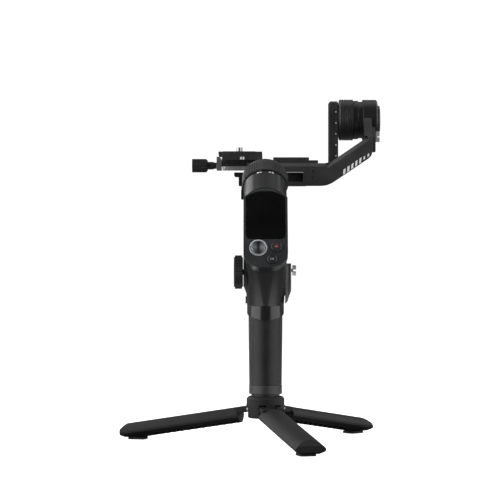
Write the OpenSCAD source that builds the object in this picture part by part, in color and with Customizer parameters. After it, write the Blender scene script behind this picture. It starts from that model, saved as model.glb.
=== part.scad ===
// Three-axis handheld gimbal stabilizer on a folding table tripod.
// Origin: on the ground, under the handle's centre line.
// +X is the user's right, +Y points forward (where a lens would look), +Z is up.

/* [Tripod] */
// Outer radius of the tripod hub and of its folded legs
hub_r = 16.75; // [16.2:0.05:17.2]
// Height of the leg hinge line above the ground
leg_hinge_z = 29.5; // [29:0.1:30]
// Length of a leg from its hinge to the tip
leg_len = 119; // [100:1:140]
// Downward slope of an open leg, degrees
leg_slope = 9.3; // [9:0.1:9.5]
// Direction of leg_front, which points back to the user, degrees from +X
leg_dir = -74; // [-90:0.1:-60]

/* [Handle] */
// Radius of the rubber sleeve at its top
grip_r = 15.0; // [14.6:0.1:15.4]
// Radius of the upper handle casing
body_r = 16.2; // [16:0.05:16.6]
// Wall thickness of the casings
wall = 2.2; // [2:0.1:2.6]
// Lean of the control panel from vertical, degrees
panel_lean = 26; // [26:0.5:27]
// Width of the control panel
panel_w = 38.8; // [38:0.1:39]
// Height of the control panel along its face
panel_h = 76.2; // [75.5:0.1:76.4]

/* [Controls] */
// Radius of the focus wheel
wheel_r = 14.75; // [13:0.25:15]
// Number of ridges round the focus wheel
wheel_ridges = 40; // [24:1:60]
// Radius of the record button
rec_r = 5.4; // [5:0.1:5.5]
// Radius of the mode button
mode_r = 4.6; // [4.2:0.1:4.7]

/* [Pan axis] */
// Outer radius of the knurled lock ring
ring_r = 20.7; // [20.2:0.1:21]
// Number of ridges round the lock ring
ring_ridges = 72; // [48:1:90]
// Radius of the smooth pan motor barrel
barrel_r = 19.2; // [18.9:0.1:19.4]

/* [Arms] */
// Thickness of the roll arm
arm_t = 10; // [9:0.5:10]
// Radius of the roll motor
roll_r = 18.5; // [18:0.1:19]
// Radius of the tilt motor
tilt_r = 18.75; // [18.4:0.05:19]
// Half width of the tilt arm's upright
upright_w = 9; // [7:0.5:9]

/* [Camera clamp] */
// Length of the quick release plate
plate_len = 60; // [50:1:60]
// Half length of the clamp base, front to back
clamp_hw = 22; // [18:0.5:22]
// Radius of the clamp knob
knob_r = 6.3; // [5.5:0.1:6.6]

/* [Hidden] */
$fn = 64;

// The pan axis leans 45 degrees forward and, like the roll and tilt axes,
// passes through one point, where the camera's centre of mass is balanced.
bal_y = 97.2;
bal_z = 290;
balance = [bal_y, bal_z];
// End plane of the pan motor, on its axis
pan_y = 43.1;
pan_z = 235.9;

// Bearings and shafts
seat_gap = 0.05;          // bearing seat over bearing radius
bore_gap = 0.1;           // stator bore over bearing radius
shaft_gap = 0.06;         // bearing bore over shaft radius
large_bearing_r = 6;      // pan and tilt
large_shaft_r = 3;
small_bearing_r = 5;      // roll
small_shaft_r = 2.5;

// ---------------------------------------------------------------- helpers
// Turns +Z to +X, starting at x; at = [y, z]
module x_place(x, at = [0, 0])
  translate([x, at[0], at[1]]) rotate([0, 90, 0]) children();
module x_rod(x_from, x_to, radius, at = [0, 0])
  x_place(x_from, at) cylinder(r = radius, h = x_to - x_from);
module z_rod(z_from, z_to, radius)
  translate([0, 0, z_from]) cylinder(r = radius, h = z_to - z_from);
module tilt_rod(x_from, x_to, radius) x_rod(x_from, x_to, radius, balance);
module roll_rod(z_from, z_to, radius) translate([0, bal_y, 0]) z_rod(z_from, z_to, radius);

// Distances along run up and forward on the pan axis from the end plane
module pan_frame(along)
  translate([0, pan_y, pan_z]) rotate([-45, 0, 0]) translate([0, 0, along]) children();

// Block centred on the balance point in Y
module mid_block(x, z, half_width, length, height)
  translate([x, bal_y - half_width, z]) cube([length, 2 * half_width, height]);

// Outline in [x, z], extruded back from y_to
module xz_prism(y_to, depth, points)
  translate([0, y_to, 0]) rotate([90, 0, 0]) linear_extrude(depth) polygon(points);
// Outline in [y, z], extruded to the right from x
module yz_prism(x, width, points)
  translate([x, 0, 0]) rotate([90, 0, 90]) linear_extrude(width) polygon(points);

module tube(outer, inner, height) difference() {
  cylinder(r = outer, h = height);
  translate([0, 0, -1]) cylinder(r = inner, h = height + 2);
}
module large_bearing(height) tube(large_bearing_r, large_shaft_r + shaft_gap, height);
module small_bearing(height) tube(small_bearing_r, small_shaft_r + shaft_gap, height);

// Star-shaped outline for knurled rims
module knurl2d(radius, depth, ridges)
  polygon([for (i = [0:2 * ridges - 1])
    let (angle = i * 180 / ridges, reach = (i % 2 == 0) ? radius : radius - depth)
      [reach * cos(angle), reach * sin(angle)]]);

// Wound stator core: a ring with inner slots and narrow notches in its rim
module stator_core(outer, inner, height) {
  slots = 12;
  difference() {
    tube(outer, inner, height);
    for (i = [0:slots - 1]) rotate([0, 0, i * 360 / slots]) {
      translate([inner + 2.4, -0.9, -1]) cube([outer - inner - 3.6, 1.8, height + 2]);
      translate([outer - 1.6, -0.4, -1]) cube([3, 0.8, height + 2]);
    }
  }
}

// Thumb screw along X, with a knurled head and a coin slot
lock_shank_r = 1.56;
module lock_knob(shank_from, shank_to, head_x, head_r, head_t, at) difference() {
  union() {
    x_rod(shank_from, shank_to, lock_shank_r, at);
    x_place(head_x, at) linear_extrude(head_t) knurl2d(head_r, 0.35, 28);
  }
  translate([head_x + 1, at[0] - 6, at[1] - 0.65]) cube([4, 12, 1.3]);
}

// ---------------------------------------------------------------- tripod
hinge_out = 14;           // hinge line, out from the handle's centre line
knuckle_r = 2.7;
leg_pin_r = 1.25;

module leg_turn(k) rotate([0, 0, leg_dir + 120 * k]) children();
module each_leg() for (k = [0:2]) leg_turn(k) children();
// Frame of leg k: origin on its hinge line, +X along the leg
module leg_frame(k)
  leg_turn(k) translate([hinge_out, 0, leg_hinge_z]) rotate([0, leg_slope, 0]) children();
// Cylinder along the hinge line, running back from y
module hinge_rod(y, radius, length)
  translate([hinge_out, y, leg_hinge_z]) rotate([90, 0, 0]) cylinder(r = radius, h = length);

module tripod_hub() color("#202123") difference() {
  union() {
    z_rod(33.2, 38.4, hub_r);
    translate([0, 0, 38.4]) cylinder(r1 = hub_r, r2 = hub_r - 1.8, h = 2);
    z_rod(25, 34, 7.6);
    each_leg() {
      translate([5, -4, 26]) cube([9, 8, 8]);
      hinge_rod(4, knuckle_r, 8);
      translate([12, -4, leg_hinge_z]) cube([4.4, 8, 4.5]);
    }
    // skirt with a slot for each leg's hinge
    difference() {
      union() {
        z_rod(22.4, 33.7, hub_r);
        translate([0, 0, 21.4]) cylinder(r1 = hub_r - 1, r2 = hub_r, h = 1);
      }
      z_rod(20, 40, 12.6);
      each_leg() translate([4, -9.9, 20]) cube([20, 19.8, 20]);
    }
  }
  each_leg() hinge_rod(4.1, leg_pin_r + 0.05, 8.2);
  // bore and head recess for the stud
  z_rod(22, 52, 3.25);
  z_rod(24, 31, 5.2);
}

// Underside facets and side limits that trim the leg's arc, as [y, z]
leg_section = [[-13.2, -5.7], [-4.2, -11.2], [4.2, -11.2], [13.2, -5.7], [13.2, 4], [-13.2, 4]];
leg_body_x = 9.6;         // where the full section starts
pocket_pitch = 6.6;

// One leg: a third of a cylinder, pocketed underneath
module leg_shape() difference() {
  union() {
    rotate([0, 90, 0]) rotate([0, 0, 90]) translate([0, 0, leg_body_x])
      linear_extrude(leg_len - leg_body_x) intersection() {
        translate([0, -hinge_out]) circle(r = hub_r);
        polygon(leg_section);
      }
    // hinge knuckles
    for (side = [-1, 1]) translate([0, side * 7, 0]) rotate([90, 0, 0]) {
      translate([0, 0, -2.6]) cylinder(r = knuckle_r, h = 5.2);
      translate([0, -knuckle_r, -2.6]) cube([11, 5.1, 5.2]);
    }
  }
  translate([0, 12, 0]) rotate([90, 0, 0]) cylinder(r = leg_pin_r + 0.27, h = 24);
  // two rows of pockets in the lower flanks, with a keel left between them
  for (i = [0:11], side = [-1, 1])
    translate([14.4 + i * pocket_pitch, side * 4.5, -8.5]) cube([4.6, 6.4, 9], center = true);
  // underside near the tip, level above the ground
  rotate([0, -leg_slope, 0])
    translate([leg_len - 60, -20, -leg_hinge_z - 12]) cube([90, 40, 14]);
  // sloping top and bottom corners of the tip
  translate([leg_len, 0, hub_r - hinge_out]) rotate([0, 40, 0]) cube([9, 40, 6], center = true);
  translate([leg_len, 0, -9.2]) rotate([0, -40, 0]) cube([9, 40, 4], center = true);
}
module leg_front() color("#1d1e20") leg_frame(0) leg_shape();
module leg_right() color("#1d1e20") leg_frame(1) leg_shape();
module leg_left() color("#1d1e20") leg_frame(2) leg_shape();

module leg_pins() color("#9a9ca0") each_leg() hinge_rod(9.6, leg_pin_r, 19.2);

// Rubber foot: a grooved pad under the tip whose sole is level with the ground
module foot_shape() rotate([0, -leg_slope, 0]) difference() {
  translate([leg_len - 23.4, 0, -leg_hinge_z]) linear_extrude(1.95) hull()
    for (x = [3, 12.6], y = [-4.2, 4.2]) translate([x, y]) circle(r = 3);
  for (i = [0:3])
    translate([leg_len - 20.6 + i * 3.2, -9, -leg_hinge_z - 1]) cube([1, 18, 1.7]);
}
module foot_front() color("#2b2b2b") leg_frame(0) foot_shape();
module foot_right() color("#2b2b2b") leg_frame(1) foot_shape();
module foot_left() color("#2b2b2b") leg_frame(2) foot_shape();

module tripod_stud() color("#a9abae") {
  z_rod(25.2, 30.2, 5);
  z_rod(30, 48, 3.1);
}

// ---------------------------------------------------------------- grip
collar_r = 14.6;
tube_r = 12;
tube_bore_r = 10.2;
tube_socket_r = tube_r + 0.1;
cell_r = 9.1;

module base_collar() color("#3a3b3e") difference() {
  union() {
    z_rod(40.6, 43.6, 12.4);
    translate([0, 0, 42.2]) cylinder(r1 = collar_r - 0.4, r2 = collar_r, h = 1);
    z_rod(43.2, 50.1, collar_r);
  }
  z_rod(40, 52, 3.15);
  z_rod(48.6, 51.6, tube_socket_r);
}

module grip_tube() color("#55585c") difference() {
  z_rod(48.7, 116, tube_r);
  z_rod(50.2, 120.2, tube_bore_r);
  z_rod(47, 52, 3.4);
}

// Everything below the sloping joint between the sleeve and the upper casings
joint_z = 113.8;
joint_slope = 0.371;      // rise per unit forward
module below_joint(gap) translate([0, 0, joint_z - gap]) rotate([atan(joint_slope), 0, 0])
  translate([-40, -40, -80]) cube([80, 80, 80]);

module grip_sleeve() color("#1b1b1c") intersection() {
  difference() {
    translate([0, 0, 50.3]) cylinder(r1 = 14.4, r2 = grip_r, h = 70);
    z_rod(50, 130, tube_r + 0.06);
  }
  below_joint(0.15);
}

// Two cells, with a contact on top of the lower one
module battery_cells() color("#7a3f8c") {
  z_rod(52.4, 102.4, cell_r);
  z_rod(103.2, 153.2, cell_r);
  z_rod(102.4, 103.1, 3);
}

// ------------------------------------------------- handle layout, as [y, z]
wheel_at = [-3, 149.6];
power_at = [5, 125];
trigger_pin_at = [16, 163];
port_knob_at = [0, 151];
port_hole_at = [0, 140.5];
module each_port_screw()
  for (z = [134, 146], side = [-1, 1]) translate([0, side * 6.4, z]) children();

// Control panel frame: +Y runs into the handle, +Z up the face.
// Positions and outlines on the panel are [x, z] in this frame.
joystick_at = [-6.45, 18.7];
record_at = [9.35, 19.9];
mode_at = [5.6, 7.9];
panel_base_r = 15;        // lower corners
panel_top_r = 28;         // arched top
panel_t = 8;

module panel_frame() translate([0, -33, 154]) rotate([-panel_lean, 0, 0]) children();
module panel_slice(y_from, y_to)
  panel_frame() translate([0, y_to, 0]) rotate([90, 0, 0]) linear_extrude(y_to - y_from)
    children();
module panel_bore(at, radius, y_from, y_to)
  panel_frame() translate([at[0], y_from, at[1]]) rotate([-90, 0, 0])
    cylinder(r = radius, h = y_to - y_from);

module panel_outline() intersection() {
  union() {
    translate([-panel_w / 2, panel_base_r]) square([panel_w, panel_h - panel_base_r]);
    translate([-(panel_w / 2 - panel_base_r), 0])
      square([panel_w - 2 * panel_base_r, panel_base_r + 1]);
    for (side = [-1, 1])
      translate([side * (panel_w / 2 - panel_base_r), panel_base_r]) circle(r = panel_base_r);
  }
  union() {
    translate([0, panel_h - panel_top_r]) circle(r = panel_top_r, $fn = 128);
    translate([-panel_w / 2 - 1, -1]) square([panel_w + 2, panel_h - panel_top_r + 1]);
  }
}

// ---------------------------------------------------------------- casings
casing_end_r = barrel_r - 0.4;   // where the casing meets the pan motor

module casing_outer() hull() {
  translate([0, 0, 120]) cylinder(r = body_r, h = 26, $fn = 48);
  // outline behind the control panel
  panel_slice(8.15, 12) translate([0, 2]) intersection() {
    union() {
      translate([-18.7, 14]) square([37.4, 54]);
      translate([-4.7, 0.4]) square([9.4, 20]);
      for (side = [-1, 1]) translate([side * 4.7, 14.4]) circle(r = 14, $fn = 32);
    }
    translate([-20, 0]) square([40, 66]);
  }
  pan_frame(-52) cylinder(r = casing_end_r, h = 15.8, $fn = 48);
}
module casing_inner() hull() {
  translate([0, 0, 122.5]) cylinder(r = body_r - wall, h = 22, $fn = 40);
  panel_slice(8, 10) translate([-15.6, 8]) square([31.2, 54]);
  pan_frame(-52) cylinder(r = casing_end_r - wall, h = 14.6, $fn = 40);
}

// Both casings in one piece
module casing_body() difference() {
  union() {
    difference() {
      union() {
        casing_outer();
        difference() {
          z_rod(100, 124, body_r);
          below_joint(0);
        }
        // left-hand bulge behind the focus wheel
        hull() {
          x_rod(-19.4, -10, 12, wheel_at);
          translate([-15.6, -8, 127.5]) cube([4, 10, 3]);
        }
      }
      casing_inner();
    }
    // wheel axle boss, trigger lugs and the seat behind the accessory port
    x_rod(-19.2, -9, 5, wheel_at);
    for (side = [-1, 1]) translate([side * 8.2 - 1.7, 11.5, 158.5]) cube([3.4, 7, 9]);
    translate([12, -9.2, 129]) cube([5.3, 18.4, 27]);
  }
  // recess for the control panel
  panel_slice(-30, panel_t + 0.12) {
    translate([-40, -1]) square([80, 42]);
    offset(delta = 0.15) panel_outline();
  }
  // grip tube socket and battery bore
  z_rod(95, 122.6, tube_socket_r);
  z_rod(95, 159, tube_bore_r);
  x_rod(-21, -6, 2.5, wheel_at);
  // flat and holes for the accessory port
  translate([17.35, -9.4, 118]) cube([12, 18.8, 42]);
  each_port_screw() x_rod(10, 20, 1.25);
  x_rod(10, 20, 1.7, port_knob_at);
  x_rod(10, 20, 3.4, port_hole_at);
  // trigger opening and pin hole
  translate([-6.3, 13.6, 136]) cube([12.6, 30, 34]);
  x_rod(-12, 12, 1.25, trigger_pin_at);
  x_rod(-19, -9, 3.35, power_at);
}

// Half space forward of the leaning seam between the two casings
seam_gap = 0.05;          // each side of the seam
module forward_half(gap)
  translate([0, 0, 150]) rotate([-14, 0, 0]) translate([-60, gap, -90]) cube([120, 120, 200]);

module rear_casing() color("#2a2b2e") difference() {
  casing_body();
  forward_half(-seam_gap);
}
module front_casing() color("#26272a") intersection() {
  casing_body();
  forward_half(seam_gap);
}

// ---------------------------------------------------------------- control panel
button_gap = 0.12;
bezel_r = 7.65;
joystick_bore_r = 4.9;

module window2d(gap) translate([0, 27.4]) intersection() {
  union() {
    translate([-17.6 - gap, 4.6]) square([35.2 + 2 * gap, 42.4]);
    translate([-13 - gap, -gap]) square([26 + 2 * gap, 10]);
    for (side = [-1, 1]) translate([side * 13, 4.6]) circle(r = 4.6 + gap);
  }
  translate([0, 20.4]) circle(r = 27 + gap, $fn = 128);
}
module display2d(gap)
  translate([-14 - gap, 32.2 - gap]) square([28 + 2 * gap, 33.6 + 2 * gap]);

module control_panel() color("#303236") difference() {
  panel_slice(0, panel_t) panel_outline();
  panel_slice(-1, 1.3) window2d(0.12);
  panel_slice(-1, 9) display2d(0.2);
  panel_bore(joystick_at, bezel_r + 0.1, -1, 0.9);
  panel_bore(joystick_at, joystick_bore_r, -1, 9);
  panel_bore(record_at, rec_r + button_gap, -1, 9);
  panel_bore(mode_at, mode_r + button_gap, -1, 9);
}
module display_window() color("#050506") panel_slice(-0.25, 1.2) window2d(0);
module display_module() color("#1a3a2a") panel_slice(1.35, 5.5) display2d(0);
module main_board() color("#135a35") difference() {
  panel_slice(8.6, 10.1) translate([-14.5, 10]) square([29, 50]);
  panel_bore(joystick_at, 5.2, 8, 11);
}

module joystick_frame(y)
  panel_frame() translate([joystick_at[0], y, joystick_at[1]]) children();
module joystick_bezel() color("#8b8e93") difference() {
  panel_bore(joystick_at, bezel_r, -0.7, 0.85);
  panel_bore(joystick_at, 7, -2, 0.45);
  panel_bore(joystick_at, joystick_bore_r, -2, 2);
}
module joystick_cradle() color("#777777") difference() {
  union() {
    panel_bore(joystick_at, 4.2, 3, 5);
    joystick_frame(4) rotate([0, 90, 0]) cylinder(r = 0.7, h = 9.6, center = true);
  }
  panel_bore(joystick_at, 2.3, 2, 6);
}
// Dished cap on a stem, with a cross pin
module joystick_cap() color("#141415") difference() {
  union() {
    panel_bore(joystick_at, 1.5, -1.5, 4.7);
    joystick_frame(4) cylinder(r = 0.5, h = 4.2, center = true);
    joystick_frame(-1.1) rotate([90, 0, 0]) {
      cylinder(r = 5.9, h = 0.7);
      translate([0, 0, 0.7]) cylinder(r1 = 5.9, r2 = 5.5, h = 0.4);
    }
  }
  joystick_frame(-1.6) rotate([90, 0, 0]) cylinder(r1 = 1, r2 = 5.15, h = 0.61);
}
module record_button() color("#3b3c40") panel_bore(record_at, rec_r, -0.8, 3.6);
module mode_button() color("#3b3c40") panel_bore(mode_at, mode_r, -0.8, 3.6);

// ---------------------------------------------------------------- side and front controls
module power_button() color("#3b3c40") x_rod(-17.6, -13.2, 3.2, power_at);

axle_r = 2.48;
module focus_wheel() color("#18191a") difference() {
  union() {
    x_place(-26.9, wheel_at) linear_extrude(6.2) knurl2d(wheel_r, 0.7, wheel_ridges);
    for (x = [-27.8, -20.8]) x_rod(x, x + 1, wheel_r - 1.6, wheel_at);
  }
  x_rod(-29, -19, axle_r + 0.08, wheel_at);
  x_rod(-29, -26.9, 8, wheel_at);
}
module wheel_axle() color("#9a9ca0") {
  x_rod(-26.8, -10.4, axle_r, wheel_at);
  x_rod(-27.6, -26.95, 4.2, wheel_at);
  x_rod(-27, -26.7, axle_r, wheel_at);
}

// Side outline of the trigger, as [y, z]
trigger_outline = [
  [14.2, 167], [20.6, 167], [22.2, 160], [23.6, 152], [23.6, 145], [22.4, 139],
  [20.4, 137.4], [19.4, 141], [19.4, 148], [18, 156], [14.2, 158]];
module trigger() color("#1b1b1c") difference() {
  yz_prism(-5.8, 11.6, trigger_outline);
  x_rod(-10, 10, 1.3, trigger_pin_at);
}
module trigger_pin() color("#9a9ca0") x_rod(-9.6, 9.6, 1.2, trigger_pin_at);

// Outline of the accessory port, as [x, z]
port_outline = [[17.45, 122], [19.2, 124], [22.5, 133.8], [22.5, 157.2], [17.45, 157.2]];
module accessory_port() color("#3d3f43") difference() {
  xz_prism(9, 18, port_outline);
  // grooves in both side faces
  for (side = [-1, 1]) translate([19.6, side * 9 - 1.2, 126]) cube([1.6, 2.4, 40]);
  x_rod(10, 30, 2.6, port_hole_at);
  x_rod(10, 30, lock_shank_r + 0.06, port_knob_at);
  each_port_screw() {
    x_rod(10, 30, 1.3);
    x_rod(20.9, 30, 2.3);
  }
}
module port_screws() color("#8e9094") each_port_screw() difference() {
  union() {
    x_rod(13, 21, 1.2);
    x_rod(20.95, 22.3, 2.2);
  }
  x_place(21.4) cylinder(r = 1, h = 2, $fn = 6);
}
module port_knob() color("#c9ccd0") lock_knob(14, 23.8, 23.6, 4.7, 3.4, port_knob_at);

// ---------------------------------------------------------------- pan axis
pan_neck_r = 18.2;        // housing inside the lock ring
pan_bore_r = 17.2;

module pan_housing() color("#242528") difference() {
  union() {
    pan_frame(-36) cylinder(r = barrel_r, h = 22, $fn = 96);
    pan_frame(-15) cylinder(r = pan_neck_r, h = 14, $fn = 96);
  }
  pan_frame(-32.6) cylinder(r = pan_bore_r, h = 40, $fn = 96);
  pan_frame(-38) cylinder(r = large_bearing_r + seat_gap, h = 8);
}
module pan_stator() color("#b06a3a") {
  pan_frame(-32.5) tube(pan_bore_r - 0.2, large_bearing_r + bore_gap, 3);
  pan_frame(-29.5) stator_core(14.2, large_bearing_r + bore_gap, 20);
}
module pan_bearings() color("#c4c6c9") for (along = [-35.9, -13])
  pan_frame(along) large_bearing(3);
module pan_lock_ring() color("#1c1d1f") difference() {
  union() {
    pan_frame(-12.9) linear_extrude(11.3) knurl2d(ring_r, 0.55, ring_ridges);
    pan_frame(-13.7) cylinder(r = ring_r - 0.7, h = 13, $fn = 96);
  }
  pan_frame(-15) cylinder(r = pan_neck_r + 0.06, h = 16, $fn = 96);
}
// End plate, magnet shell and shaft
module pan_rotor() color("#2d2e31") {
  pan_frame(-0.8) cylinder(r = 17.1, h = 3, $fn = 96);
  pan_frame(-28.8) difference() {
    cylinder(r = 16.9, h = 28.4);
    translate([0, 0, -1]) cylinder(r = 14.7, h = 29);
  }
  pan_frame(-35.9) cylinder(r = large_shaft_r, h = 36);
}
// Neck that carries the roll motor, below the sweep of everything above it
module pan_arm() color("#26272a") difference() {
  union() {
    pan_frame(2.25) cylinder(r = 16.6, h = 2.6, $fn = 96);
    difference() {
      hull() {
        translate([-13, 48, 211]) cube([26, 5, 14.5]);
        translate([-14.5, 64, 207]) cube([29, 4, 18.6]);
        translate([0, bal_y, 204.5]) cylinder(r = 17, h = 20.5, $fn = 48);
      }
      // room for the pan motor
      pan_frame(-50) cylinder(r = 60, h = 54);
    }
  }
  roll_rod(200, 232, roll_r + 0.1);
}

// ---------------------------------------------------------------- roll axis
roll_bore_r = 16.6;

module roll_housing() color("#222326") difference() {
  union() {
    roll_rod(203, 226, roll_r);
    roll_rod(201.8, 203.1, roll_r - 2);
    mid_block(-22, 216, 4, 8, 9);
  }
  roll_rod(205.8, 230, roll_bore_r);
  roll_rod(203.4, 207, small_bearing_r + seat_gap);
  mid_block(-21.9, 214, 2.6, 2.1, 14);
}
module roll_stator() color("#b06a3a") translate([0, bal_y, 0]) {
  translate([0, 0, 205.9]) tube(roll_bore_r - 0.2, small_bearing_r + bore_gap, 2.6);
  translate([0, 0, 208.4]) stator_core(12.6, small_bearing_r + bore_gap, 12);
}
module roll_bearings() color("#c4c6c9") translate([0, bal_y, 0]) {
  translate([0, 0, 203.5]) small_bearing(2.2);
  translate([0, 0, 217.5]) small_bearing(2.4);
}
// Upright tongue, thicker shank and wide head on the left of the roll motor
module roll_latch() color("#17181a") {
  mid_block(-21.7, 219.5, 2.4, 1.8, 17.5);
  hull() {
    mid_block(-24.2, 229, 2.4, 4.3, 8);
    mid_block(-23.2, 228.4, 2.4, 3.3, 1);
  }
  hull() {
    mid_block(-28.4, 238.2, 4, 8.5, 2.9);
    mid_block(-27.2, 236.8, 4, 7.3, 2);
  }
}
module roll_rotor() color("#1e1f21") {
  difference() {
    union() {
      translate([0, bal_y, 226.4]) linear_extrude(6.6) knurl2d(roll_r, 0.4, 60);
      roll_rod(209.2, 227, 15.8);
    }
    roll_rod(208, 225, 13.2);
  }
  roll_rod(203.6, 226, small_shaft_r);
}

arm_y = 62.5;             // rear face of the roll arm
arm_front_y = arm_y + arm_t;

// Plate on the rotor, bar along the arm's front face and block joining them
module roll_clamp() color("#2a2b2e") {
  hull() {
    roll_rod(233.1, 238, 15);
    translate([-14, 74, 233.1]) cube([34, 5, 4.9]);
  }
  translate([-14, arm_front_y + 0.2, 227.6]) cube([52, 6, 12.65]);
  translate([-2, 66, 231.7]) cube([18, 10, 8.4]);
}

// ---------------------------------------------------------------- roll arm
tilt_sweep = 46.2;        // swept radius kept clear round the tilt axis
arm_end = [91.3, 98.2];   // left and right faces of the tilt motor mount, in X
cover_screws = [[70, 262], [84, 266]];  // [y, z]
tilt_knob_at = [74, 273];               // [y, z]

// Outline of the roll arm, as [x, z]
arm_outline = [
  [-16, 227.7], [50.7, 227.7], [54.5, 228], [57.5, 228.6], [60, 229.6], [62.5, 230.9],
  [66.8, 233.7], [94.6, 252.5], [96.6, 254.3], [97.7, 256.4], [98.2, 259], [98.2, 272],
  [91.3, 272], [91.3, 270.7], [63, 251.48], [59.5, 249.4], [55, 248.5], [-16, 248.5]];

module roll_arm() color("#232427") difference() {
  union() {
    xz_prism(arm_front_y, arm_t, arm_outline);
    hull() {
      translate([arm_end[0], arm_y, 260]) cube([arm_end[1] - arm_end[0], arm_t, 12]);
      tilt_rod(arm_end[0], arm_end[1], 15);
    }
  }
  // bevel along the rear upper edge
  translate([17, arm_y, 248.5]) rotate([45, 0, 0]) cube([78, 4.5, 4.5], center = true);
  translate([75, 62.3, 259.6]) rotate([0, -34.17, 0]) rotate([45, 0, 0])
    cube([46, 4.9, 4.9], center = true);
  // room for the tilt motor and for the turning tilt stage
  tilt_rod(88, 110, tilt_r + 0.1);
  tilt_rod(0, 69.9, tilt_sweep);
  tilt_rod(-20, 0.1, tilt_sweep + 3.4);
  // channel over the roll clamp
  translate([-14, 50, 231.4]) cube([49, 40, 9]);
  for (z = [234.2, 240.4]) translate([44, 61, z]) rotate([-90, 0, 0]) cylinder(r = 1.2, h = 2.6);
  for (at = cover_screws) x_rod(95, 110, 1.25, at);
  x_rod(96, 110, 1.7, tilt_knob_at);
}

// ---------------------------------------------------------------- tilt motor
module tilt_housing() color("#232427") difference() {
  union() {
    tilt_rod(82.3, 86.7, 17.9);
    tilt_rod(86.6, 91, 17);
    tilt_rod(90.9, 103.3, tilt_r);
    x_place(103.2, balance) cylinder(r1 = tilt_r, r2 = tilt_r - 1.3, h = 1.3);
  }
  // cavity round a central bearing boss
  difference() {
    tilt_rod(84.3, 101.5, 15);
    tilt_rod(84, 100, 8);
  }
  tilt_rod(80, 100, large_bearing_r + seat_gap);
}
module tilt_stator() color("#b06a3a") x_place(73.3, balance) stator_core(16.2, 3.7, 8.9);
module tilt_bearings() color("#c4c6c9") for (x = [84.6, 95])
  x_place(x, balance) large_bearing(3);
module tilt_end_cap() color("#4a4c50") {
  tilt_rod(104.6, 105.9, 13.5);
  x_place(105.9, balance) cylinder(r1 = 13.5, r2 = 12.7, h = 1);
}

// Outline of the arm cover, as [y, z]
cover_outline = [[63.5, 259], [80, 259], [92, 264], [92, 276], [78, 282], [72, 282], [63.5, 272]];
module arm_cover() color("#3a3c40") difference() {
  yz_prism(98.3, 2.9, cover_outline);
  tilt_rod(90, 110, tilt_r + 0.15);
  x_rod(90, 110, lock_shank_r + 0.06, tilt_knob_at);
  for (at = cover_screws) x_rod(97, 102, 1.25, at);
}
module tilt_lock_knob() color("#c9ccd0") lock_knob(97.2, 102.2, 101.9, 4.9, 3.5, tilt_knob_at);

// ---------------------------------------------------------------- tilt stage
tilt_rim_r = tilt_r + 0.3;

// Grooved drum with a key on its left face, and the shaft
module tilt_rotor() color("#1c1d1f") {
  difference() {
    union() {
      difference() {
        union() {
          tilt_rod(69.8, 81.8, tilt_rim_r);
          x_place(69, balance) cylinder(r1 = tilt_r - 0.7, r2 = tilt_rim_r, h = 0.81);
        }
        for (i = [0:4]) x_place(71.2 + i * 2.1, balance) tube(tilt_r + 2, tilt_r - 0.25, 0.8);
      }
      tilt_rod(68.3, 69.1, 14);
      mid_block(62, 284, 2.4, 6.5, 12);
    }
    tilt_rod(73, 83, 16.7);
  }
  tilt_rod(72, 98.4, large_shaft_r);
}

module tilt_arm() color("#2b2c2f") difference() {
  union() {
    // upright with eased edges
    hull() {
      mid_block(59.4, 246, upright_w, 8.7, 59.4);
      mid_block(60.6, 246, upright_w - 1.6, 6.3, 60.9);
    }
    // stepped base reaching under the camera
    mid_block(46, 245.4, 9.6, 15, 2.8);
    mid_block(8, 247, 10, 41.4, 5.2);
    mid_block(8, 251, 10, 33, 3.9);
    mid_block(-42, 247, 7, 51, 3.2);
    mid_block(-42, 248.4, 8.8, 51, 1.8);
  }
  // keyway for the tilt rotor
  mid_block(58, 268, 2.6, 12, 32);
  // lightening slots in the base
  for (x = [14, 30]) mid_block(x, 240, 4, 11, 20);
}

// ---------------------------------------------------------------- camera clamp
clamp_screw_at = [bal_y, 247.5];        // [y, z]
dovetail_z = 253;
dovetail_angle = 30;
module dovetail_frame(x, angle)
  translate([x, bal_y - 30, dovetail_z]) rotate([0, angle, 0]) children();

module clamp_base() color("#26272a") difference() {
  union() {
    mid_block(-39.6, 250.3, clamp_hw, 37.4, 2.6);
    mid_block(-7.2, 250.3, clamp_hw, 5, 6.3);
    // rails beside the tilt arm's base
    for (side = [-1, 1])
      translate([-39.6, bal_y + side * 11.15 - 1.95, 246.6]) cube([37.4, 3.9, 4]);
  }
  // dovetail face of the fixed jaw
  dovetail_frame(-7.3, dovetail_angle) translate([-4, 0, 0]) cube([4, 60, 8]);
  x_rod(-45, -34, 3.2, clamp_screw_at);
}
module clamp_jaw() color("#b9bbbf") difference() {
  mid_block(-44.6, 243.3, 14, 4.6, 12);
  dovetail_frame(-40.1, -dovetail_angle) cube([4, 60, 8]);
  mid_block(-42.5, 246.6, 9, 3, 3.8);
  x_rod(-50, -38, 3.1, clamp_screw_at);
}
module clamp_knob() color("#1a1b1c") {
  x_place(-67.5, clamp_screw_at) linear_extrude(13.5) knurl2d(knob_r, 0.6, 20);
  x_rod(-54.1, -53, knob_r - 1, clamp_screw_at);
  x_rod(-53.1, -47.4, 3.6, clamp_screw_at);
  x_rod(-47.5, -42.7, 3, clamp_screw_at);
}

camera_screw_x = -23.6;
pad_out = 22;             // pad centres, either side of the balance point in Y
module screw_frame(z, y = 0) translate([camera_screw_x, bal_y + y, z]) children();

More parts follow.
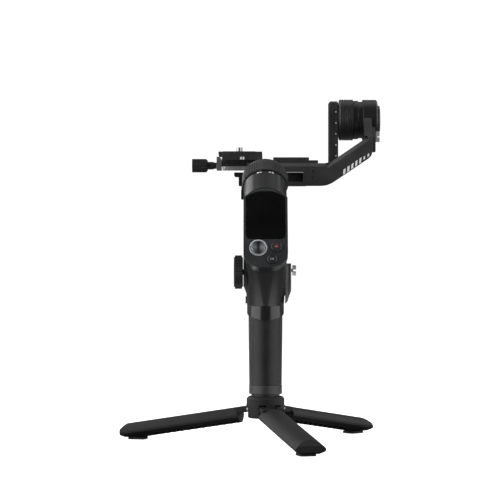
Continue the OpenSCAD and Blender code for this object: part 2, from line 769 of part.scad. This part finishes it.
// Sloping flanks of the release plate, as [x, z]
flank_outline = [[-38.4, 254.4], [-8.8, 254.4], [-7.5, 256.9], [-39.7, 256.9]];
module release_plate() color("#2e2f32") difference() {
  union() {
    mid_block(-38.4, 253.1, plate_len / 2, 29.6, 2.2);
    mid_block(-42.6, 256.8, plate_len / 2, 38, 2.4);
    xz_prism(bal_y + plate_len / 2, plate_len, flank_outline);
    // stop across the rear end
    translate([-39.4, bal_y - plate_len / 2 - 0.2, 251.5]) cube([37, 3.4, 7.7]);
  }
  // slot for the camera screw
  for (y = [-12, 0]) screw_frame(250, y) cylinder(r = 3.3, h = 12);
  translate([-26.9, bal_y - 12, 250]) cube([6.6, 12, 12]);
  screw_frame(252.9) cylinder(r = 7.2, h = 2.4);
  for (side = [-1, 1])
    screw_frame(258.4, side * pad_out) translate([-15, -4, 0]) cube([30, 8, 2]);
}
module plate_pads() color("#151515") for (side = [-1, 1])
  translate([-38.5, bal_y + side * pad_out - 3.9, 258.45]) cube([29.8, 7.8, 1.2]);
module camera_screw() color("#a9abae") difference() {
  union() {
    screw_frame(253) cylinder(r = 7, h = 2.2);
    screw_frame(255) cylinder(r = 2.9, h = 5);
    screw_frame(259.4) cylinder(r = 3.1, h = 5);
  }
  mid_block(-25, 252.5, 8, 2.8, 1.6);
}

tripod_hub();
leg_front();
leg_left();
leg_right();
leg_pins();
foot_front();
foot_left();
foot_right();
tripod_stud();
base_collar();
grip_tube();
grip_sleeve();
battery_cells();
rear_casing();
front_casing();
control_panel();
display_window();
display_module();
main_board();
joystick_bezel();
joystick_cradle();
joystick_cap();
record_button();
mode_button();
power_button();
focus_wheel();
wheel_axle();
trigger();
trigger_pin();
accessory_port();
port_screws();
port_knob();
pan_housing();
pan_stator();
pan_bearings();
pan_lock_ring();
pan_rotor();
pan_arm();
roll_housing();
roll_stator();
roll_bearings();
roll_latch();
roll_rotor();
roll_clamp();
roll_arm();
tilt_housing();
tilt_stator();
tilt_bearings();
tilt_end_cap();
arm_cover();
tilt_lock_knob();
tilt_rotor();
tilt_arm();
clamp_base();
clamp_jaw();
clamp_knob();
release_plate();
plate_pads();
camera_screw();
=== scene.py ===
"""A handheld camera stabiliser: a grip on a small tripod, with pan, roll and tilt arms above.

The scene is in metres with +Z up. The front faces -Y, and +X is to the right seen from the
front. The detail pieces are drawn in millimetres and scaled by MM.
"""
import math
import bmesh
import bpy
from mathutils import Matrix, Vector


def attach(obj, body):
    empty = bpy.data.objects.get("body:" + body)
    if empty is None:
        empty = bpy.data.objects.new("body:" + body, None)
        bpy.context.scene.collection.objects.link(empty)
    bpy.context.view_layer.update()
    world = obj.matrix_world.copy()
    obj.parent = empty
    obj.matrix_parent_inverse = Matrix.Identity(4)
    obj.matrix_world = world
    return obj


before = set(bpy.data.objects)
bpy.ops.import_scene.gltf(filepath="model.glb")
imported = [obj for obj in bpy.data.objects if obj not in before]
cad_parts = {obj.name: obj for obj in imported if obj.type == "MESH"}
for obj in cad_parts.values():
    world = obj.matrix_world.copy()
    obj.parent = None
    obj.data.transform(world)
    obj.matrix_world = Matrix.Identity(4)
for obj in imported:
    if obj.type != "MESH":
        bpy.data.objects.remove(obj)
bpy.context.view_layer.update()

SCENE = bpy.context.scene
MM = 0.001

CAD_SHARP_ANGLE = math.radians(28)
DETAIL_SHARP_ANGLE = math.radians(35)

# Frames of the control panel and of the barrel below the pan arm, both leaning back.
PANEL_LEAN = math.radians(26)
PANEL = Matrix.Translation((0, -0.033, 0.154)) @ Matrix.Rotation(-PANEL_LEAN, 4, "X")
BARREL_LEAN = math.radians(45)
BARREL = Matrix.Translation((0, 0.0431, 0.2359)) @ Matrix.Rotation(-BARREL_LEAN, 4, "X")
JOYSTICK_CENTRE = Vector((-0.00645, 0, 0.0187))    # in the panel frame


# ---------------------------------------------------------------- shader graph
class Graph:
    """A node material with a Principled shader, and short calls that add nodes to it."""

    def __init__(self, name):
        self.material = bpy.data.materials.new(name)
        self.material.use_nodes = True
        self.tree = self.material.node_tree
        self.tree.nodes.clear()
        output = self.node("ShaderNodeOutputMaterial")
        self.shader = self.node("ShaderNodeBsdfPrincipled")
        self.link(self.shader.outputs[0], output.inputs[0])
        self.coords = self.node("ShaderNodeTexCoord")

    def node(self, kind, **settings):
        node = self.tree.nodes.new(kind)
        for key, value in settings.items():
            setattr(node, key, value)
        return node

    def link(self, source, target):
        self.tree.links.new(source, target)

    def feed(self, target, value):
        """Links a socket, or sets a plain value."""
        if isinstance(value, bpy.types.NodeSocket):
            self.link(value, target)
        else:
            target.default_value = value

    def set(self, **inputs):
        """Feeds the shader's inputs; an underscore stands for a space."""
        for key, value in inputs.items():
            self.feed(self.shader.inputs[key.replace("_", " ")], value)

    def noise(self, scale, detail, roughness, stretch=None):
        texture = self.node("ShaderNodeTexNoise")
        texture.inputs["Scale"].default_value = scale
        texture.inputs["Detail"].default_value = detail
        texture.inputs["Roughness"].default_value = roughness
        vector = self.coords.outputs["Object"]
        if stretch:
            mapping = self.node("ShaderNodeMapping")
            mapping.inputs["Scale"].default_value = stretch
            self.link(vector, mapping.inputs[0])
            vector = mapping.outputs[0]
        self.link(vector, texture.inputs["Vector"])
        return texture.outputs["Fac"]

    def cells(self, scale):
        texture = self.node("ShaderNodeTexVoronoi")
        texture.inputs["Scale"].default_value = scale
        self.link(self.coords.outputs["Object"], texture.inputs["Vector"])
        return texture.outputs["Distance"]

    def calc(self, operation, a, b=0.0, clamp=False):
        node = self.node("ShaderNodeMath", operation=operation, use_clamp=clamp)
        self.feed(node.inputs[0], a)
        self.feed(node.inputs[1], b)
        return node.outputs[0]

    def ramp(self, value, span, to=(0.0, 1.0)):
        """Maps the span of a value linearly onto another, held at both ends."""
        node = self.node("ShaderNodeMapRange")
        self.feed(node.inputs[0], value)
        for i, limit in enumerate((*span, *to), start=1):
            node.inputs[i].default_value = limit
        return node.outputs[0]

    def mix(self, factor, a, b):
        """Mixes two colours, which sit on inputs 6 and 7 and output 2 of the node."""
        node = self.node("ShaderNodeMix", data_type="RGBA")
        self.feed(node.inputs[0], factor)
        for i, color in ((6, a), (7, b)):
            self.feed(node.inputs[i], (*color, 1) if isinstance(color, tuple) else color)
        return node.outputs[2]

    def bump(self, height, distance):
        node = self.node("ShaderNodeBump")
        node.inputs["Distance"].default_value = distance
        self.link(height, node.inputs["Height"])
        self.link(node.outputs[0], self.shader.inputs["Normal"])
        return node


# ---------------------------------------------------------------- materials
def grey(level):
    return (level, level, level)


def surface(name, color, roughness, metal=0.0, specular=0.5, grain=2600.0, depth=2e-5,
            spread=0.08, tone=0.16, wear=0.25, worn=None, edge=4e-4, cells=0.0, brush=None,
            dust=0.0):
    """A fine-grained surface with cloudy tone and worn edges.

    grain, depth: scale of the fine noise, and height of its bump in metres
    spread, tone: how far roughness and colour vary in the clouds
    wear, worn:   strength and colour of the edge wear
    edge:         radius of the shaded edge rounding in metres
    cells:        scale of a pebbled bump; brush: stretch of the grain; dust: strength of specks
    """
    g = Graph(name)

    # Edges are where the rounded normal turns away from the true one.
    geometry = g.node("ShaderNodeNewGeometry")
    bevel = g.node("ShaderNodeBevel", samples=6)
    bevel.inputs["Radius"].default_value = edge
    dot = g.node("ShaderNodeVectorMath", operation="DOT_PRODUCT")
    g.link(geometry.outputs["Normal"], dot.inputs[0])
    g.link(bevel.outputs[0], dot.inputs[1])
    edge_mask = g.ramp(g.calc("SUBTRACT", 1.0, dot.outputs["Value"]), span=(0.02, 0.20))
    patches = g.ramp(g.noise(scale=240.0, detail=5.0, roughness=0.6), span=(0.42, 0.62))
    edge_wear = g.calc("MULTIPLY", edge_mask, patches, clamp=True)
    edge_wear = g.calc("MULTIPLY", edge_wear, wear, clamp=True)

    cloud = g.noise(scale=38.0, detail=3.0, roughness=0.6)
    fine = g.noise(scale=grain, detail=3.0, roughness=0.6, stretch=brush)
    dark = tuple(c * (1 - tone) for c in color)
    light = tuple(min(1.0, c * (1 + tone) + 0.002) for c in color)
    base = g.mix(g.ramp(cloud, span=(0.35, 0.65)), dark, light)
    base = g.mix(edge_wear, base, worn or tuple(min(1.0, c * 2.6 + 0.05) for c in color))
    if dust:
        specks = g.ramp(g.noise(scale=1500.0, detail=2.0, roughness=0.5), span=(0.70, 0.80))
        base = g.mix(g.calc("MULTIPLY", specks, dust, clamp=True), base, grey(0.35))

    fine_spread = spread * 0.4
    cloudy = g.ramp(cloud, span=(0.3, 0.7), to=(roughness - spread, roughness + spread))
    grainy = g.ramp(fine, span=(0.3, 0.7), to=(-fine_spread, fine_spread))
    g.set(Base_Color=base, Roughness=g.calc("ADD", cloudy, grainy, clamp=True),
          Metallic=metal, Specular_IOR_Level=specular)

    height = fine
    if cells:
        height = g.calc("ADD", g.calc("MULTIPLY", fine, 0.4), g.cells(cells))
    bump = g.bump(height, distance=depth)
    bump.inputs["Strength"].default_value = 1.0
    g.link(bevel.outputs[0], bump.inputs["Normal"])
    return g.material


def spun_metal_painted_sheen(name):
    """Turned metal round the joystick's axis: painted fans of light and concentric grooves."""
    g = Graph(name)
    mapping = g.node("ShaderNodeMapping", vector_type="TEXTURE")
    mapping.inputs["Location"].default_value = PANEL @ JOYSTICK_CENTRE
    mapping.inputs["Rotation"].default_value = (-PANEL_LEAN, 0, 0)
    g.link(g.coords.outputs["Object"], mapping.inputs[0])
    split = g.node("ShaderNodeSeparateXYZ")
    g.link(mapping.outputs[0], split.inputs[0])
    x, z = split.outputs["X"], split.outputs["Z"]
    angle = g.calc("ARCTAN2", z, x)
    radius = g.calc("SQRT", g.calc("ADD", g.calc("MULTIPLY", x, x), g.calc("MULTIPLY", z, z)))

    # Painted highlight: two broad bright fans left and right, dark above, below and towards the
    # hub, with fine radial streaks.
    fan_sharpness, painted_fan_level = 1.6, 0.85
    ripple_count, ripple_level = 37.0, 0.05
    painted_fan = g.calc("POWER", g.calc("ABSOLUTE", g.calc("COSINE", angle)), fan_sharpness)
    ripple = g.calc("SINE", g.calc("MULTIPLY", angle, ripple_count))
    ripple = g.calc("MULTIPLY", ripple, ripple_level)
    hub = g.ramp(radius, span=(0.0009, 0.0022), to=(0.25, 1.0))
    tone = g.calc("ADD", g.calc("MULTIPLY", painted_fan, painted_fan_level), ripple)
    tone = g.calc("MULTIPLY", tone, hub, clamp=True)
    haze = g.noise(scale=900.0, detail=3.0, roughness=0.5)
    # The painted highlight runs the base colour from near black to light grey.
    g.set(Base_Color=g.mix(tone, (0.028, 0.032, 0.036), (0.30, 0.33, 0.35)),
          Metallic=0.75,
          Roughness=g.ramp(haze, span=(0.3, 0.7), to=(0.30, 0.44)))

    grooves_per_metre = 24000.0    # in radians of the sine
    g.bump(g.calc("SINE", g.calc("MULTIPLY", radius, grooves_per_metre)), distance=4e-6)
    return g.material


# Values shared by materials of one kind.
DARK_METAL = dict(metal=0.25, grain=4200, depth=8e-6, spread=0.05, wear=0.38)
BRUSHED = dict(metal=1.0, grain=1500, depth=1e-5, edge=3e-4, brush=(1, 14, 14))
PRINT = dict(roughness=0.5, depth=4e-6, wear=0.08, edge=1e-4)

LOOKS = {
    "casing": surface(
        "casing_black_look", color=(0.0090, 0.0094, 0.0100), roughness=0.22, specular=0.62,
        grain=3600, depth=6e-6, spread=0.035, wear=0.22, edge=5e-4),
    "panel": surface(
        "panel_grey_look", color=(0.0270, 0.0300, 0.0305), roughness=0.30,
        grain=3800, depth=8e-6, spread=0.04, wear=0.30, edge=5e-4),
    "sleeve": surface(
        "sleeve_rubber_look", color=(0.0088, 0.0088, 0.0094), roughness=0.42, specular=0.40,
        depth=3e-5, spread=0.06, wear=0.10, cells=2400, dust=0.08),
    "leg": surface(
        "leg_plastic_look", color=(0.0175, 0.0175, 0.0185), roughness=0.55, specular=0.20,
        grain=2200, spread=0.06, wear=0.32, edge=5e-4, cells=1800, dust=0.10),
    "foot": surface(
        "foot_rubber_look", color=grey(0.016), roughness=0.72,
        depth=5e-5, wear=0.12, cells=1500, dust=0.20),
    "arm": surface(
        "arm_anodised_look", color=(0.0400, 0.0405, 0.0415), roughness=0.36, specular=0.55,
        worn=(0.22, 0.22, 0.24), edge=6e-4, **DARK_METAL),
    "motor": surface(
        "motor_black_look", color=(0.0120, 0.0125, 0.0135), roughness=0.30, specular=0.6,
        worn=(0.20, 0.20, 0.22), edge=5e-4, **DARK_METAL),
    "knurl": surface(
        "knurled_black_look", color=(0.0145, 0.0145, 0.0160), roughness=0.40, metal=0.25,
        specular=0.6, grain=3000, depth=1.5e-5, spread=0.07, wear=0.45,
        worn=(0.18, 0.18, 0.19), edge=2e-4),
    "bright": surface(
        "bright_metal_look", color=(0.74, 0.74, 0.75), roughness=0.42,
        spread=0.07, tone=0.08, wear=0.2, worn=grey(0.75), **BRUSHED),
    "steel": surface(
        "steel_look", color=(0.42, 0.42, 0.43), roughness=0.30, metal=1.0,
        grain=1500, depth=1e-5, tone=0.08, wear=0.2, worn=grey(0.7), edge=2e-4,
        brush=(8, 8, 1)),
    "glass": surface(
        "display_black_look", color=(0.0015, 0.0015, 0.0018), roughness=0.07, specular=0.35,
        grain=300, depth=1.5e-6, spread=0.02, tone=0.1, wear=0.06, edge=6e-4, dust=0.004),
    "bezel": surface(
        "joystick_bezel_look", color=(0.90, 0.95, 0.97), roughness=0.5, metal=1.0,
        grain=2400, depth=1e-5, wear=0.4, worn=(0.7, 0.7, 0.72), edge=3e-4),
    "button": surface(
        "button_grey_look", color=(0.018, 0.019, 0.021), roughness=0.36,
        grain=3800, depth=1e-5),
    "copper": surface(
        "copper_look", color=(0.45, 0.20, 0.09), roughness=0.34, metal=1.0,
        grain=900, depth=6e-5, edge=2e-4, brush=(1, 1, 12)),
    "board": surface(
        "board_look", color=(0.015, 0.13, 0.06), roughness=0.35, grain=1200, edge=2e-4),
    "cell": surface(
        "cell_look", color=(0.10, 0.18, 0.36), roughness=0.30, grain=900, depth=1e-5),
    "tube": surface(
        "tube_look", color=(0.50, 0.51, 0.53), roughness=0.32, metal=1.0,
        grain=1400, depth=1e-5, edge=3e-4, brush=(1, 1, 20)),
    "white": surface("white_print_look", color=grey(0.86), tone=0.03, **PRINT),
    "grey_print": surface("grey_print_look", color=(0.40, 0.41, 0.42), tone=0.04, **PRINT),
    "dim_print": surface("dim_print_look", color=(0.14, 0.145, 0.15), tone=0.05, **PRINT),
    "red": surface(
        "red_dot_look", color=(0.16, 0.012, 0.014), roughness=0.40,
        depth=6e-6, wear=0.08, edge=2e-4),
    "port": surface(
        "port_block_look", color=(0.20, 0.201, 0.206), roughness=0.36, metal=0.25,
        grain=3200, depth=1e-5, wear=0.4, worn=(0.25, 0.25, 0.27)),
    "bright_knob": surface(
        "bright_knob_look", color=(0.93, 0.93, 0.94), roughness=0.34,
        spread=0.06, tone=0.05, wear=0.2, worn=grey(0.95), **BRUSHED),
    "jaw": surface(
        "jaw_metal_look", color=(0.27, 0.27, 0.28), roughness=0.44,
        spread=0.07, tone=0.08, wear=0.3, worn=grey(0.7), **BRUSHED),
    "cap": surface(
        "end_cap_look", color=(0.050, 0.052, 0.056), roughness=0.32, metal=0.5,
        grain=1200, depth=1e-5, wear=0.4, worn=(0.3, 0.3, 0.32), brush=(1, 10, 1)),
    "stick": spun_metal_painted_sheen("joystick_spun_painted_sheen_look"),
    "trigger": surface(
        "trigger_rubber_look", color=(0.018, 0.018, 0.020), roughness=0.50,
        grain=3000, depth=3e-5, edge=3e-4, cells=2600),
}

# The CAD pieces that wear each look.
PIECES = {
    "casing": "rear_casing front_casing",
    "panel": "control_panel",
    "sleeve": "grip_sleeve",
    "leg": "tripod_hub leg_front leg_left leg_right",
    "foot": "foot_front foot_left foot_right plate_pads",
    "arm": "pan_arm roll_arm roll_clamp tilt_arm clamp_base release_plate base_collar",
    "port": "accessory_port",
    "motor": "pan_housing pan_rotor roll_housing roll_rotor tilt_housing tilt_rotor",
    "knurl": "pan_lock_ring focus_wheel clamp_knob roll_latch",
    "bright_knob": "tilt_lock_knob",
    "bright": "port_knob",
    "jaw": "clamp_jaw",
    "steel": "leg_pins tripod_stud wheel_axle trigger_pin port_screws camera_screw "
             "pan_bearings roll_bearings tilt_bearings joystick_cradle",
    "glass": "display_window",
    "bezel": "joystick_bezel",
    "stick": "joystick_cap",
    "trigger": "trigger",
    "button": "record_button mode_button power_button",
    "copper": "pan_stator roll_stator tilt_stator",
    "board": "main_board display_module",
    "cell": "battery_cells",
    "tube": "grip_tube",
    "cap": "tilt_end_cap arm_cover",
}


def shade_smooth(mesh, sharp_angle):
    for face in mesh.polygons:
        face.use_smooth = True
    mesh.set_sharp_from_angle(angle=sharp_angle)


def dress_cad_pieces():
    look_of = {piece: look for look, names in PIECES.items() for piece in names.split()}
    for name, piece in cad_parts.items():
        mesh = piece.data
        mesh.materials.clear()
        mesh.materials.append(LOOKS[look_of[name]])
        for face in mesh.polygons:
            face.material_index = 0
        shade_smooth(mesh, CAD_SHARP_ANGLE)


# ---------------------------------------------------------------- mesh helpers
def add_mesh(name, bm):
    """Turns a bmesh into an object in the scene."""
    mesh = bpy.data.meshes.new(name)
    bm.to_mesh(mesh)
    bm.free()
    obj = bpy.data.objects.new(name, mesh)
    SCENE.collection.objects.link(obj)
    return obj


def add_detail(name, bm, look, body):
    bm.normal_update()
    obj = add_mesh(name, bm)
    obj.data.materials.append(LOOKS[look])
    shade_smooth(obj.data, DETAIL_SHARP_ANGLE)
    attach(obj, body)


def prism(outline, depth, place, bevel=0.0, segments=2):
    """A closed prism: (x, y) outline in mm, raised along local +Z, its top edge bevelled."""
    bm = bmesh.new()
    bottom = [bm.verts.new((x * MM, y * MM, 0)) for x, y in outline]
    top = [bm.verts.new((x * MM, y * MM, depth * MM)) for x, y in outline]
    bm.faces.new(list(reversed(bottom)))
    bm.faces.new(top)
    count = len(outline)
    for i in range(count):
        j = (i + 1) % count
        bm.faces.new((bottom[i], bottom[j], top[j], top[i]))
    if bevel:
        top_edges = [e for e in bm.edges
                     if all(abs(v.co.z - depth * MM) < 1e-9 for v in e.verts)]
        bmesh.ops.bevel(bm, geom=top_edges, offset=bevel * MM, segments=segments,
                        affect="EDGES", profile=0.5)
    bm.transform(place)
    bmesh.ops.recalc_face_normals(bm, faces=bm.faces)
    return bm


def join(parts):
    """Merges several bmeshes into one, in order."""
    joined = bmesh.new()
    for part in parts:
        mesh = bpy.data.meshes.new("tmp")
        part.to_mesh(mesh)
        part.free()
        joined.from_mesh(mesh)
        bpy.data.meshes.remove(mesh)
    return joined


def arc(radius, start, end, steps):
    """Steps + 1 points along an arc, between angles in radians."""
    angles = [start + (end - start) * i / steps for i in range(steps + 1)]
    return [(radius * math.cos(a), radius * math.sin(a)) for a in angles]


def circle(radius, count):
    return arc(radius, 0.0, 2 * math.pi, count)[:-1]


def bar(half_width, half_height, lean=0.0, x=0.0):
    """A bar centred on x, its top shifted by lean to the right and its bottom to the left."""
    return [(x - half_width - lean, -half_height), (x + half_width - lean, -half_height),
            (x + half_width + lean, half_height), (x - half_width + lean, half_height)]


def rounded_rectangle(width, height, radius, steps=6):
    x, y = width / 2 - radius, height / 2 - radius
    points = []
    for i, (cx, cy) in enumerate(((x, y), (-x, y), (-x, -y), (x, -y))):
        corner = arc(radius, math.radians(90 * i), math.radians(90 * (i + 1)), steps)
        points += [(cx + u, cy + v) for u, v in corner]
    return points


def facing_front(x, y, z):
    """A place in mm whose local +Z looks to the front, with local X right and local Y up."""
    return Matrix.Translation((x * MM, y * MM, z * MM)) @ Matrix.Rotation(math.pi / 2, 4, "X")


# ---------------------------------------------------------------- details
PRINT_DEPTH = 0.05
BUTTON_ARC_DEPTH = 0.06
BUTTON_ARC_WIDTH = 0.35
RECORD_PLACE = PANEL @ facing_front(9.35, -0.8, 19.9)
MODE_PLACE = PANEL @ facing_front(5.6, -0.8, 7.9)


def arm_dashes():
    """A row of slanted bars climbing the roll arm, five large and then two small."""
    slope = math.radians(34.2)
    start_x, start_z = 70.9, 239.6
    margin, pitch = 2.0, 4.4
    large = bar(half_width=1.25, half_height=1.9, lean=1.5)
    small = bar(half_width=0.9, half_height=1.2, lean=0.9)
    parts = []
    for i, outline in enumerate([large] * 5 + [small] * 2):
        along = margin + i * pitch
        place = facing_front(start_x + along * math.cos(slope), 62.5,
                             start_z + along * math.sin(slope))
        parts.append(prism(outline, 0.06, place @ Matrix.Rotation(slope, 4, "Z")))
    add_detail("arm_dashes", join(parts), "white", "roll_arm")


def barrel_mark(side, start, end, half_height, steps=8):
    """A thin patch wrapped round the barrel; start and end are arc lengths from its front."""
    radius, height = 19.2, -15.4
    inner, outer = radius + 0.02, radius + 0.07
    bm = bmesh.new()
    sections = []
    for i in range(steps + 1):
        a = side * (start + (end - start) * i / steps) / radius
        sections.append([
            bm.verts.new((r * MM * math.sin(a), -r * MM * math.cos(a), (height + dz) * MM))
            for r in (inner, outer) for dz in (-half_height, half_height)])
    # Each section is inner low, inner high, outer low, outer high.
    for here, there in zip(sections, sections[1:]):
        for a, b in ((2, 3), (1, 0), (0, 2)):
            bm.faces.new((here[a], here[b], there[b], there[a]))
        bm.faces.new((here[1], there[1], there[3], here[3]))
    for end_section in (sections[0], sections[-1]):
        bm.faces.new([end_section[i] for i in (0, 1, 3, 2)])
    bmesh.ops.recalc_face_normals(bm, faces=bm.faces)
    bm.transform(BARREL)
    return bm


def barrel_marks():
    """A low mark and a taller one on each side of the barrel's front."""
    spans = ((3.2, 5.2, 0.42), (6.0, 7.6, 0.75))    # start, end, half height
    parts = [barrel_mark(side, *span) for side in (-1, 1) for span in spans]
    add_detail("barrel_marks", join(parts), "white", "handle")


def upright_scale():
    """A vertical scale on the tilt arm: a dot at every fifth station, ticks between."""
    dot_x, tick_x, y = 66.0, 66.4, 88.2
    bottom, pitch = 256.2, 2.04
    dots, ticks = [], []
    for i in range(25):
        z = bottom + i * pitch
        if i % 5 == 0:
            dots.append(prism(circle(0.62, 16), PRINT_DEPTH, facing_front(dot_x, y, z)))
        else:
            outline = bar(half_width=0.75, half_height=0.12, x=-0.15)
            ticks.append(prism(outline, PRINT_DEPTH, facing_front(tick_x, y, z)))
    add_detail("upright_ticks", join(ticks), "dim_print", "tilt_arm")
    add_detail("upright_dots", join(dots), "white", "tilt_arm")


def button_arcs(name, radius, half_span, place, body):
    """Two arcs round a button's mark, on its right and left."""
    parts = []
    for middle in (0, 180):
        span = math.radians(middle - half_span), math.radians(middle + half_span)
        outline = arc(radius + BUTTON_ARC_WIDTH, *span, 12) + arc(radius, *span, 12)[::-1]
        parts.append(prism(outline, BUTTON_ARC_DEPTH, place))
    add_detail(name, join(parts), "dim_print", body)


def record_mark():
    """A red dot between two arcs, with a short bar across it."""
    dot = prism(circle(1.9, 32), 0.10, RECORD_PLACE, bevel=0.04)
    add_detail("record_dot", dot, "red", "record_button")
    button_arcs("record_arcs", 4.15, 40, RECORD_PLACE, "record_button")
    line = prism(bar(half_width=1.0, half_height=0.16), 0.13, RECORD_PLACE)
    add_detail("record_bar", line, "grey_print", "record_button")


def mode_mark():
    """Three upright bars between two arcs."""
    button_arcs("mode_arcs", 3.75, 45, MODE_PLACE, "mode_button")
    parts = [prism(bar(half_width=0.26, half_height=0.85, x=x), 0.08, MODE_PLACE)
             for x in (-1.2, 0, 1.2)]
    add_detail("mode_bars", join(parts), "grey_print", "mode_button")


def plate_marks():
    """Two upright bars on the front of the release plate."""
    place = facing_front(-20.6, 67.0, 253.1)
    parts = [prism(bar(half_width=0.75, half_height=1.2, x=x), PRINT_DEPTH, place)
             for x in (-1.3, 0.9)]
    add_detail("plate_marks", join(parts), "white", "plate")


def clamp_guide():
    """The bright guide plate under the clamp, lying flat."""
    place = Matrix.Translation((-0.0256, 0.0972, 0.2434))
    outline = rounded_rectangle(width=27.0, height=25.0, radius=2.0)
    plate = prism(outline, 3.15, place, bevel=0.35, segments=3)
    add_detail("clamp_guide", plate, "bright", "clamp")


# ---------------------------------------------------------------- stage
def stage_material(name, color):
    """Bright to the camera, mid grey to other rays, with a glow in low reflections."""
    camera_glow, reflected_glow = 0.92, 1.7
    g = Graph(name)
    cloud = g.noise(scale=6.0, detail=3.0, roughness=0.5)
    path = g.node("ShaderNodeLightPath")
    is_camera = path.outputs["Is Camera Ray"]
    length = path.outputs["Ray Length"]
    seen = g.mix(g.ramp(cloud, span=(0.3, 0.7)), tuple(c * 0.995 for c in color), color)

    # The glow shows only to glossy rays of middling length that land low and off to the sides.
    geometry = g.node("ShaderNodeNewGeometry")
    split = g.node("ShaderNodeSeparateXYZ")
    g.link(geometry.outputs["Position"], split.inputs[0])
    side = g.ramp(g.calc("ABSOLUTE", split.outputs["X"]), span=(0.034, 0.060))
    low = g.ramp(split.outputs["Z"], span=(0.02, 0.03), to=(1.0, 0.0))
    far = g.ramp(length, span=(0.085, 0.105))
    near = g.ramp(length, span=(0.21, 0.27), to=(1.0, 0.0))
    glow = g.calc("MULTIPLY", g.calc("MULTIPLY", path.outputs["Is Glossy Ray"], low),
                  g.calc("MULTIPLY", side, far))
    glow = g.calc("MULTIPLY", glow, near)
    strength = g.calc("ADD", g.calc("MULTIPLY", is_camera, camera_glow),
                      g.calc("MULTIPLY", glow, reflected_glow))
    g.set(Base_Color=g.mix(is_camera, grey(0.22), seen), Roughness=0.75,
          Specular_IOR_Level=0.1, Emission_Color=(1, 1, 1, 1), Emission_Strength=strength)
    return g.material


def studio_floor():
    """A floor that curves up into a wall at the back."""
    half_width, front, back, wall_top, curve = 4.0, -3.4, 3.4, 2.8, 0.9
    profile = [(front, 0.0)]
    for i in range(17):
        a = math.pi / 2 * i / 16
        profile.append((back - curve + curve * math.sin(a), curve - curve * math.cos(a)))
    profile.append((back, wall_top))
    bm = bmesh.new()
    left, right = [[bm.verts.new((x, y, z)) for y, z in profile]
                   for x in (-half_width, half_width)]
    for i in range(len(profile) - 1):
        bm.faces.new((left[i], right[i], right[i + 1], left[i + 1]))
    floor = add_mesh("studio_floor", bm)
    for face in floor.data.polygons:
        face.use_smooth = True
    floor.data.materials.append(stage_material("studio_white", color=grey(0.90)))


def studio_world():
    world = bpy.data.worlds.new("studio_world")
    SCENE.world = world
    world.use_nodes = True
    background = world.node_tree.nodes["Background"]
    background.inputs["Color"].default_value = (1, 1, 1, 1)
    background.inputs["Strength"].default_value = 0.075


def area_light(name, place, target, size, level):
    """A rectangular light aimed at target; level sets its power for its area."""
    width, height = size
    light = bpy.data.lights.new(name, "AREA")
    light.shape = "RECTANGLE"
    light.size = width
    light.size_y = height
    light.energy = level * math.pi * width * height
    obj = bpy.data.objects.new(name, light)
    SCENE.collection.objects.link(obj)
    obj.location = place
    obj.rotation_euler = (Vector(target) - Vector(place)).to_track_quat("-Z", "Y").to_euler()


def light_pair(name, place, target, size, left, right):
    """Mirrored lights with their own levels; place is that of the right one."""
    x, y, z = place
    area_light(f"{name}_left", (-x, y, z), target, size, left)
    area_light(f"{name}_right", place, target, size, right)


def studio_lights():
    card_distance, card_angle = 1.25, math.radians(66)    # the angle is from the front
    card_place = (card_distance * math.sin(card_angle), -card_distance * math.cos(card_angle),
                  0.35)
    light_pair("card", place=card_place, target=(0, 0, 0.30), size=(1.7, 1.3),
               left=2.5, right=1.9)
    area_light("soft_top", place=(0.0, 0.45, 1.35), target=(0, 0.05, 0.15), size=(1.6, 1.0),
               level=0.6)
    light_pair("soft_upper", place=(0.85, -0.30, 1.05), target=(0, 0.04, 0.24),
               size=(0.9, 0.7), left=2.2, right=1.2)
    light_pair("rim", place=(1.05, 0.85, 0.70), target=(0, 0.04, 0.22), size=(0.9, 1.2),
               left=2.3, right=1.2)
    area_light("soft_back", place=(0.0, 1.2, 0.8), target=(0, 0, 0.2), size=(1.8, 0.8),
               level=0.15)


def studio_camera():
    """A long lens looking level from the front."""
    lens = bpy.data.cameras.new("camera")
    camera = bpy.data.objects.new("camera", lens)
    SCENE.collection.objects.link(camera)
    lens.sensor_width = 36.0
    lens.lens = 138.96
    lens.clip_end = 20
    camera.location = (-0.01365, -1.7, 0.169)
    camera.rotation_euler = (math.radians(90), 0, 0)
    SCENE.camera = camera
    SCENE.view_settings.view_transform = "Standard"
    SCENE.view_settings.look = "None"


dress_cad_pieces()
arm_dashes()
barrel_marks()
upright_scale()
record_mark()
mode_mark()
plate_marks()
clamp_guide()
studio_floor()
studio_world()
studio_lights()
studio_camera()
